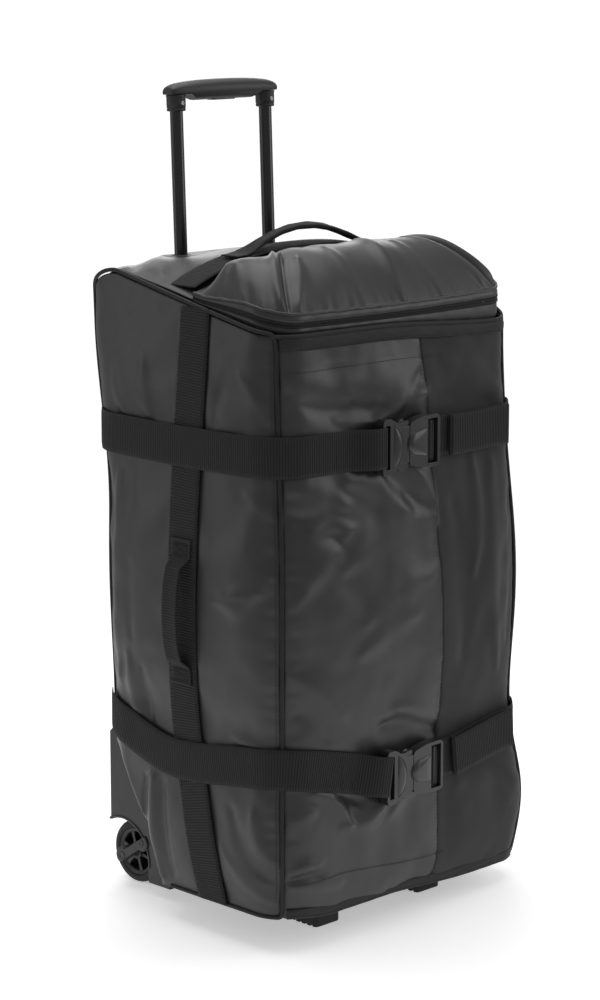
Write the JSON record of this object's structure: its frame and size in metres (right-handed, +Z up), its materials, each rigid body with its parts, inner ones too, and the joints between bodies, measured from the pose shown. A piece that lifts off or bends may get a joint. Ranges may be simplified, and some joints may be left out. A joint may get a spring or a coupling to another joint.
{
  "type": "rolling duffel bag",
  "caption": "Upright wheeled duffel in coated fabric with a zipped domed lid, compression straps with side-release buckles, telescoping trolley handle, side handles, wheels and front feet",
  "frame": {"origin": "On the floor, midway across the width between the two front feet and the two wheels; Y is zero near the middle of the depth.", "axes": "+X is the bag's width, to the right seen from the front; -Y is the front, where the straps buckle; +Y is the wheel and trolley side; +Z is up."},
  "size_m": [0.5182, 0.412, 1.0368],
  "materials": {
    "tarpaulin": "coated tarpaulin, dark grey, satin with fine grain",
    "matte_fabric": "woven nylon, dark grey, matte",
    "webbing": "ribbed polyester webbing, near black, matte",
    "lining": "plain woven lining, dark grey",
    "board": "rigid back sheet, matte",
    "moulded_plastic": "moulded plastic, dark grey, satin",
    "buckle_plastic": "acetal buckle plastic, black, semi-gloss",
    "tube": "round aluminium tube, gloss black",
    "steel": "bright steel",
    "slider": "zinc zip slider, dark finish",
    "tyre": "solid rubber tyre, matte",
    "rubber": "moulded rubber foot, matte"
  },
  "bodies": {
    "bag": {"front_panel": "tarpaulin", "front_side_panel": "matte_fabric", "side_panel_left": "tarpaulin", "side_panel_right": "tarpaulin", "back_panel": "tarpaulin", "top_panel": "tarpaulin", "base_panel": "matte_fabric", "inner_liner": "lining", "back_board": "board", "side_piping_left": "webbing", "side_piping_right": "webbing", "side_webbing_left": "webbing", "side_webbing_right": "webbing", "top_webbing": "webbing", "grab_handle": "webbing", "side_handle_left": "webbing", "side_handle_right": "webbing", "upper_strap": "webbing", "upper_strap_tail": "webbing", "lower_strap": "webbing", "lower_strap_tail": "webbing", "upper_buckle_socket": "buckle_plastic", "upper_buckle_plug": "buckle_plastic", "lower_buckle_socket": "buckle_plastic", "lower_buckle_plug": "buckle_plastic", "zip_gusset": "webbing", "zip_slider": "slider", "trolley_bezel": "moulded_plastic", "trolley_bracket": "moulded_plastic", "outer_tube_left": "tube", "outer_tube_right": "tube", "wheel_housing_left": "moulded_plastic", "wheel_housing_right": "moulded_plastic", "axle_arm_left": "moulded_plastic", "axle_arm_right": "moulded_plastic", "axle_left": "steel", "axle_right": "steel", "foot_left": "rubber", "foot_right": "rubber"},
    "lid": {"lid": "tarpaulin", "lid_gusset": "webbing"},
    "zip_pull": {"zip_pull": "slider"},
    "trolley_handle": {"handle_grip": "moulded_plastic", "handle_collar_left": "moulded_plastic", "handle_collar_right": "moulded_plastic", "collar_screw_left": "steel", "collar_screw_right": "steel", "inner_tube_left": "tube", "inner_tube_right": "tube"},
    "release_button": {"release_button": "buckle_plastic"},
    "wheel_left": {"wheel_hub_left": "moulded_plastic", "tyre_left": "tyre"},
    "wheel_right": {"wheel_hub_right": "moulded_plastic", "tyre_right": "tyre"},
    "upper_prong_top": {"upper_prong_top": "buckle_plastic"},
    "upper_prong_bottom": {"upper_prong_bottom": "buckle_plastic"},
    "lower_prong_top": {"lower_prong_top": "buckle_plastic"},
    "lower_prong_bottom": {"lower_prong_bottom": "buckle_plastic"}
  },
  "joints": [
    {"name": "handle_slide", "type": "slide", "parent": "bag", "child": "trolley_handle", "axis": [0, 0.0366, 0.9993], "range_m": [-0.17, 0]},
    {"name": "button_press", "type": "slide", "parent": "trolley_handle", "child": "release_button", "axis": [0, 0.0366, 0.9993], "range_m": [0, 0.003], "stiffness_N_per_m": 400},
    {"name": "wheel_left_spin", "type": "hinge", "parent": "bag", "child": "wheel_left", "pos_m": [-0.1435, 0.16, 0.0415], "axis": [1, 0, 0], "continuous": true},
    {"name": "wheel_right_spin", "type": "hinge", "parent": "bag", "child": "wheel_right", "pos_m": [0.1435, 0.16, 0.0415], "axis": [1, 0, 0], "continuous": true},
    {"name": "lid_hinge", "type": "hinge", "parent": "bag", "child": "lid", "pos_m": [0, -0.018, 0.8275], "axis": [-1, 0, 0], "range_deg": [0, 75]},
    {"name": "zip_pull_swing", "type": "hinge", "parent": "bag", "child": "zip_pull", "pos_m": [0.21779, -0.11202, 0.77578], "axis": [0, -1, 0], "range_deg": [0, 100]},
    {"name": "upper_prong_top_squeeze", "type": "hinge", "parent": "bag", "child": "upper_prong_top", "pos_m": [-0.0242, -0.18591, 0.6205], "axis": [0, -1, 0], "range_deg": [0, 7], "stiffness_Nm_per_rad": 0.6},
    {"name": "upper_prong_bottom_squeeze", "type": "hinge", "parent": "bag", "child": "upper_prong_bottom", "pos_m": [-0.0242, -0.18591, 0.5955], "axis": [0, 1, 0], "range_deg": [0, 7], "stiffness_Nm_per_rad": 0.6},
    {"name": "lower_prong_top_squeeze", "type": "hinge", "parent": "bag", "child": "lower_prong_top", "pos_m": [-0.0242, -0.19649, 0.2115], "axis": [0, -1, 0], "range_deg": [0, 7], "stiffness_Nm_per_rad": 0.6},
    {"name": "lower_prong_bottom_squeeze", "type": "hinge", "parent": "bag", "child": "lower_prong_bottom", "pos_m": [-0.0242, -0.19649, 0.1865], "axis": [0, 1, 0], "range_deg": [0, 7], "stiffness_Nm_per_rad": 0.6}
  ],
  "couplings": [
    {"joint": "upper_prong_bottom_squeeze", "follows": "upper_prong_top_squeeze", "ratio": 1},
    {"joint": "lower_prong_bottom_squeeze", "follows": "lower_prong_top_squeeze", "ratio": 1}
  ]
}
